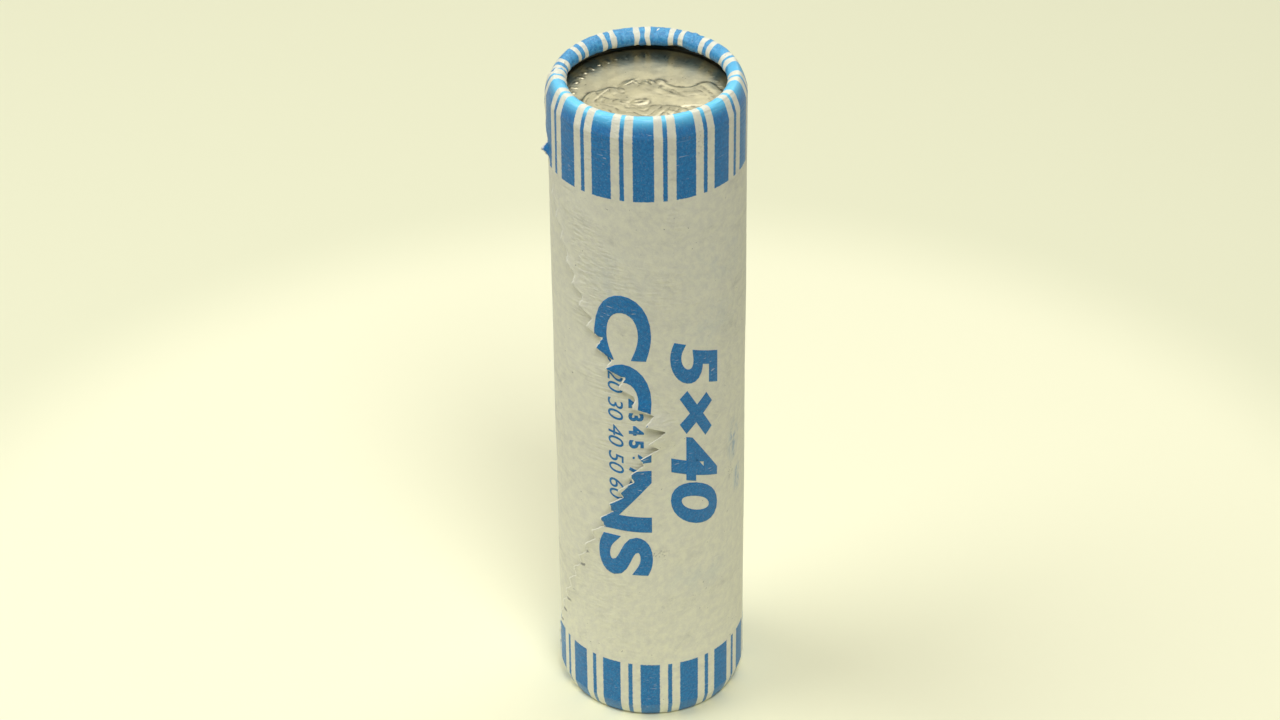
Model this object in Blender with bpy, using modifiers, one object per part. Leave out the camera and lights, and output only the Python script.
"""A machine-wrapped paper roll of forty five-cent coins, standing on its end.

The roll is two kinds of piece. Forty coins lie face to face in a column, and one strip of paper
is wound round them about two and a half times. The machine curls both side edges of the strip
inward over the end coins, all plies together, which leaves a rolled rim round an open end at the
top and the bottom. Nothing is glued: the tail of the strip lies loose on the ply below, torn to a
V along a saw-toothed bar.

The strip is modelled the way it is made. It is cut out flat, creased by cutting it along regular
stations, given its thickness, and then wound by one function that knows the spiral and the two
curls. The origin is the centre of the resting ring, +Z is up the roll, and -Y is the front.
"""

import math

import bmesh
import bpy
from mathutils import Vector

MM = 0.001

# Coins
COIN_COUNT = 40
COIN_DIAMETER = 21.21 * MM
COIN_THICKNESS = 1.93 * MM
COIN_AIR = 0.02 * MM
COIN_RIM_WIDTH = 1.0 * MM
COIN_RIM_SLOPE = 0.2 * MM
COIN_FIELD_DEPTH = 0.2 * MM
END_COIN_SIDES = 32
INNER_COIN_SIDES = 18

# Paper strip
PAPER = 0.09 * MM
PLY_AIR = 0.015 * MM
COIN_CLEARANCE = 0.075 * MM
RIM_HEIGHT = 2.0 * MM
RIM_WIDTH = 2.24 * MM
SEAT_AIR = 0.02 * MM
END_PLAY = 0.4 * MM
TURNS = 2.25

# Tail of the strip: angles are counted from the front, positive to the right
TAIL_ANGLE = math.radians(10.5)
TAIL_HEIGHT = 42.0 * MM
TAIL_RISE_UP = 1.75
TAIL_RISE_DOWN = 1.95
TOOTH_PITCH = 2.2 * MM
TOOTH_DEPTH = 0.7 * MM

# Facets
STATIONS_PER_TURN = 32
CREASE = math.radians(36)
CREASES_PER_CURL = 8
SEATING_STATIONS = 4
SNAP = 0.02 * MM

# Sizes that follow from those above
PLY_PITCH = PAPER + PLY_AIR
STACK_HEIGHT = COIN_COUNT * COIN_THICKNESS + (COIN_COUNT - 1) * COIN_AIR
STACK_BASE = RIM_HEIGHT + SEAT_AIR
ROLL_LENGTH = STACK_BASE + STACK_HEIGHT + END_PLAY + SEAT_AIR + RIM_HEIGHT
STATION = 2 * math.pi / STATIONS_PER_TURN
LAST_STATION = round(TURNS * STATIONS_PER_TURN)
ROLL_RADIUS = COIN_DIAMETER / 2 + COIN_CLEARANCE + PAPER + TURNS * PLY_PITCH
CURL_ANGLE = CREASE * CREASES_PER_CURL
CURL_HALF_WIDTH = RIM_WIDTH / 2
# The flats of the curl lie half a crease either side of its top and bottom
CURL_HALF_HEIGHT = RIM_HEIGHT / 2 / math.cos(CREASE / 2)
CURL_RADIUS = ROLL_RADIUS - CURL_HALF_WIDTH
CURL_BASE = RIM_HEIGHT / 2
CURL_TOP = ROLL_LENGTH - RIM_HEIGHT / 2
CREASE_WIDTH = CREASE * (CURL_HALF_WIDTH + CURL_HALF_HEIGHT) / 2
CURL_WIDTH = CREASE_WIDTH * CREASES_PER_CURL
STRIP_WIDTH = 2 * CURL_WIDTH + CURL_TOP - CURL_BASE
TAIL_AT = CURL_WIDTH + TAIL_HEIGHT - CURL_BASE


def clear_scene():
    for item in list(bpy.data.objects):
        bpy.data.objects.remove(item, do_unlink=True)


def new_collection(name):
    made = bpy.data.collections.new(name)
    bpy.context.scene.collection.children.link(made)
    return made


def new_material(name, colour, roughness, metallic):
    made = bpy.data.materials.new(name)
    made.use_nodes = True
    shader = made.node_tree.nodes["Principled BSDF"]
    shader.inputs["Base Color"].default_value = (*colour, 1)
    shader.inputs["Roughness"].default_value = roughness
    shader.inputs["Metallic"].default_value = metallic
    made.diffuse_color = (*colour, 1)
    return made


def add_object(name, mesh, collection, parent=None):
    made = bpy.data.objects.new(name, mesh)
    collection.objects.link(made)
    made.parent = parent
    return made


def add_empty(name, collection):
    made = bpy.data.objects.new(name, None)
    made.empty_display_size = COIN_DIAMETER / 2
    collection.objects.link(made)
    return made


# Coins

def coin_profile(name, material):
    """Half of a coin's section, from the middle of its top face round to the middle of its bottom."""
    radius = COIN_DIAMETER / 2
    half = COIN_THICKNESS / 2
    field = half - COIN_FIELD_DEPTH
    rim_inside = radius - COIN_RIM_WIDTH
    upper = [
        (0, field),
        (rim_inside - COIN_RIM_SLOPE, field),
        (rim_inside, half),
        (radius, half),
    ]
    lower = [(x, -z) for x, z in reversed(upper)]
    points = [(x, 0, z) for x, z in upper + lower]
    edges = [(i, i + 1) for i in range(len(points) - 1)]
    mesh = bpy.data.meshes.new(name)
    mesh.from_pydata(points, edges, [])
    mesh.materials.append(material)
    return mesh


def turned_coin(mesh, sides):
    """The profile turned once round Z and baked, so that every coin of a kind shares one mesh."""
    lathe = bpy.data.objects.new("coin_lathe", mesh)
    bpy.context.scene.collection.objects.link(lathe)
    screw = lathe.modifiers.new("turn", "SCREW")
    screw.axis = "Z"
    screw.angle = 2 * math.pi
    screw.steps = sides
    screw.render_steps = sides
    screw.use_merge_vertices = True
    screw.merge_threshold = 0.01 * MM
    screw.use_smooth_shade = True
    graph = bpy.context.evaluated_depsgraph_get()
    made = bpy.data.meshes.new_from_object(lathe.evaluated_get(graph))
    made.name = f"coin_of_{sides}_sides"
    made.set_sharp_from_angle(angle=math.radians(40))
    bpy.data.objects.remove(lathe, do_unlink=True)
    return made


def coin_height(number):
    """The middle of the coin with this number, counted from 1 at the bottom."""
    return STACK_BASE + COIN_THICKNESS / 2 + (number - 1) * (COIN_THICKNESS + COIN_AIR)


def add_coins(collection, material):
    profile = coin_profile("coin_profile", material)
    end_mesh = turned_coin(profile, END_COIN_SIDES)
    inner_mesh = turned_coin(profile, INNER_COIN_SIDES)
    stack = add_empty("coin_stack", collection)
    for number in range(1, COIN_COUNT + 1):
        mesh = end_mesh if number in (1, COIN_COUNT) else inner_mesh
        coin = add_object(f"coin_{number:02d}", mesh, collection, stack)
        coin.location.z = coin_height(number)


# Paper strip: x runs along the strip in radians of winding, y runs up its width in metres

def saw_teeth(start, end):
    """Points from start to end along one arm of the tail, with a tooth standing out at each pitch."""
    arm = (end - start) * Vector((ROLL_RADIUS, 1))
    count = max(1, round(arm.length / TOOTH_PITCH))
    out = Vector((-abs(arm.y), arm.x if arm.y > 0 else -arm.x)).normalized()
    if out.x > 0:
        out = -out
    tip = TOOTH_DEPTH * Vector((out.x / ROLL_RADIUS, out.y))
    points = []
    for i in range(count):
        points.append(start.lerp(end, i / count))
        points.append(start.lerp(end, (i + 0.5) / count) + tip)
    return points


def strip_outline():
    """The flat strip's outline: the V of the tail, both long sides and the straight inner end."""
    notch = Vector((0, TAIL_AT))
    top = Vector((-(STRIP_WIDTH - TAIL_AT) / TAIL_RISE_UP / ROLL_RADIUS, STRIP_WIDTH))
    bottom = Vector((-TAIL_AT / TAIL_RISE_DOWN / ROLL_RADIUS, 0))
    upper_arm = saw_teeth(notch, top)
    lower_arm = saw_teeth(notch, bottom)
    inner_end = LAST_STATION * STATION
    return [
        *upper_arm,
        top,
        Vector((inner_end, STRIP_WIDTH)),
        Vector((inner_end, 0)),
        bottom,
        *reversed(lower_arm[1:]),
    ]


def crease_heights():
    """Where the strip is creased across its width: through both curls and at the tail's notch."""
    lower = [i * CREASE_WIDTH for i in range(1, CREASES_PER_CURL + 1)]
    upper = [STRIP_WIDTH - height for height in lower]
    return [*lower, TAIL_AT, *upper]


def cut_through(work, point, normal):
    bmesh.ops.bisect_plane(
        work,
        geom=[*work.verts, *work.edges, *work.faces],
        dist=SNAP,
        plane_co=point,
        plane_no=normal,
    )


def flat_strip():
    """The strip cut out flat in metres, creased at every station and triangulated."""
    work = bmesh.new()
    outline = [work.verts.new((p.x * ROLL_RADIUS, p.y, 0)) for p in strip_outline()]
    work.faces.new(outline)
    for height in crease_heights():
        cut_through(work, (0, height, 0), (0, 1, 0))
    first = math.floor(min(v.co.x for v in work.verts) / ROLL_RADIUS / STATION)
    for station in range(first + 1, LAST_STATION):
        cut_through(work, (station * STATION * ROLL_RADIUS, 0, 0), (1, 0, 0))
    bmesh.ops.triangulate(work, faces=work.faces[:])
    return work


def tail_reach(is_top):
    """The winding angle at which the tail starts on the curl of one end."""
    width = STRIP_WIDTH - TAIL_AT if is_top else TAIL_AT
    rise = TAIL_RISE_UP if is_top else TAIL_RISE_DOWN
    return -(width / rise + TOOTH_DEPTH) / ROLL_RADIUS


def plies_over(winding, is_top):
    """How many plies of pitch lie outside the strip on one curl at this winding angle.

    The rim keeps one height all round, although the plies spiral: the strip drops by a whole ply
    over a few stations just before the tail comes over it.
    """
    under_tail = tail_reach(is_top) + 2 * math.pi
    turn = 0
    while winding > under_tail:
        winding -= 2 * math.pi
        turn += 1
    seating = SEATING_STATIONS * STATION
    drop = min(1, max(0, (winding - under_tail + seating) / seating))
    return turn + drop * drop * (3 - 2 * drop)


def wound_corner(station, crease, inset):
    """A point of the wound strip on a station and a crease, inset below the outer face.

    Creases count up the width: 0 to CREASES_PER_CURL through the bottom curl, then as many again
    through the top curl.
    """
    winding = station * STATION
    is_top = crease > CREASES_PER_CURL
    turned = (crease - CREASES_PER_CURL - is_top) * CREASE
    spiral_inset = winding / (2 * math.pi) * PLY_PITCH + inset
    height_inset = plies_over(winding, is_top) * PLY_PITCH + inset
    radius = CURL_RADIUS + (CURL_HALF_WIDTH - spiral_inset) * math.cos(turned)
    middle = CURL_TOP if is_top else CURL_BASE
    height = middle + (CURL_HALF_HEIGHT - height_inset) * math.sin(turned)
    angle = TAIL_ANGLE + winding
    return Vector((radius * math.sin(angle), -radius * math.cos(angle), height))


def crease_of(height):
    """(crease below, share of the way to the next) at this height on the flat strip."""
    if height <= CURL_WIDTH:
        crease, share = divmod(height / CREASE_WIDTH, 1)
        return int(crease), share
    if height >= STRIP_WIDTH - CURL_WIDTH:
        crease, share = divmod((height - STRIP_WIDTH + CURL_WIDTH) / CREASE_WIDTH, 1)
        return int(crease) + CREASES_PER_CURL + 1, share
    wall = STRIP_WIDTH - 2 * CURL_WIDTH
    return CREASES_PER_CURL, (height - CURL_WIDTH) / wall


def wound(point):
    """Where a point of the flat strip goes. Between stations and creases the paper stays flat."""
    station, along = divmod(point.x / ROLL_RADIUS / STATION, 1)
    crease, up = crease_of(point.y)
    inset = PAPER if point.z > PAPER / 2 else 0
    lower = wound_corner(station, crease, inset).lerp(wound_corner(station + 1, crease, inset), along)
    if up < SNAP:
        return lower
    upper = wound_corner(station, crease + 1, inset)
    upper = upper.lerp(wound_corner(station + 1, crease + 1, inset), along)
    return lower.lerp(upper, up)


def add_wrapper(collection, material):
    work = flat_strip()
    flat = work.faces[:]
    bmesh.ops.solidify(work, geom=flat, thickness=PAPER)
    lowest = min(v.co.z for v in work.verts)
    for vertex in work.verts:
        vertex.co.z -= lowest
    for vertex in work.verts:
        vertex.co = wound(vertex.co)
    bmesh.ops.recalc_face_normals(work, faces=work.faces[:])
    mesh = bpy.data.meshes.new("paper_wrapper")
    work.to_mesh(mesh)
    work.free()
    mesh.materials.append(material)
    mesh.shade_smooth()
    mesh.set_sharp_from_angle(angle=math.radians(50))
    add_object("paper_wrapper", mesh, collection)
    return mesh


def main():
    clear_scene()
    roll = new_collection("coin_roll")
    paper = new_material("wrapper_paper", (0.72, 0.70, 0.66), 0.85, 0.0)
    metal = new_material("worn_coin_metal", (0.45, 0.42, 0.37), 0.42, 1.0)
    mesh = add_wrapper(roll, paper)
    add_coins(roll, metal)
    mesh.calc_loop_triangles()
    print(f"wrapper: {len(mesh.loop_triangles)} triangles, {TURNS} turns at the notch")
    print(f"roll: {2 * ROLL_RADIUS / MM:.2f} mm across, {ROLL_LENGTH / MM:.2f} mm long")
    print(f"stack: {STACK_HEIGHT / MM:.2f} mm, plies {PLY_AIR / MM:.3f} mm apart")


main()
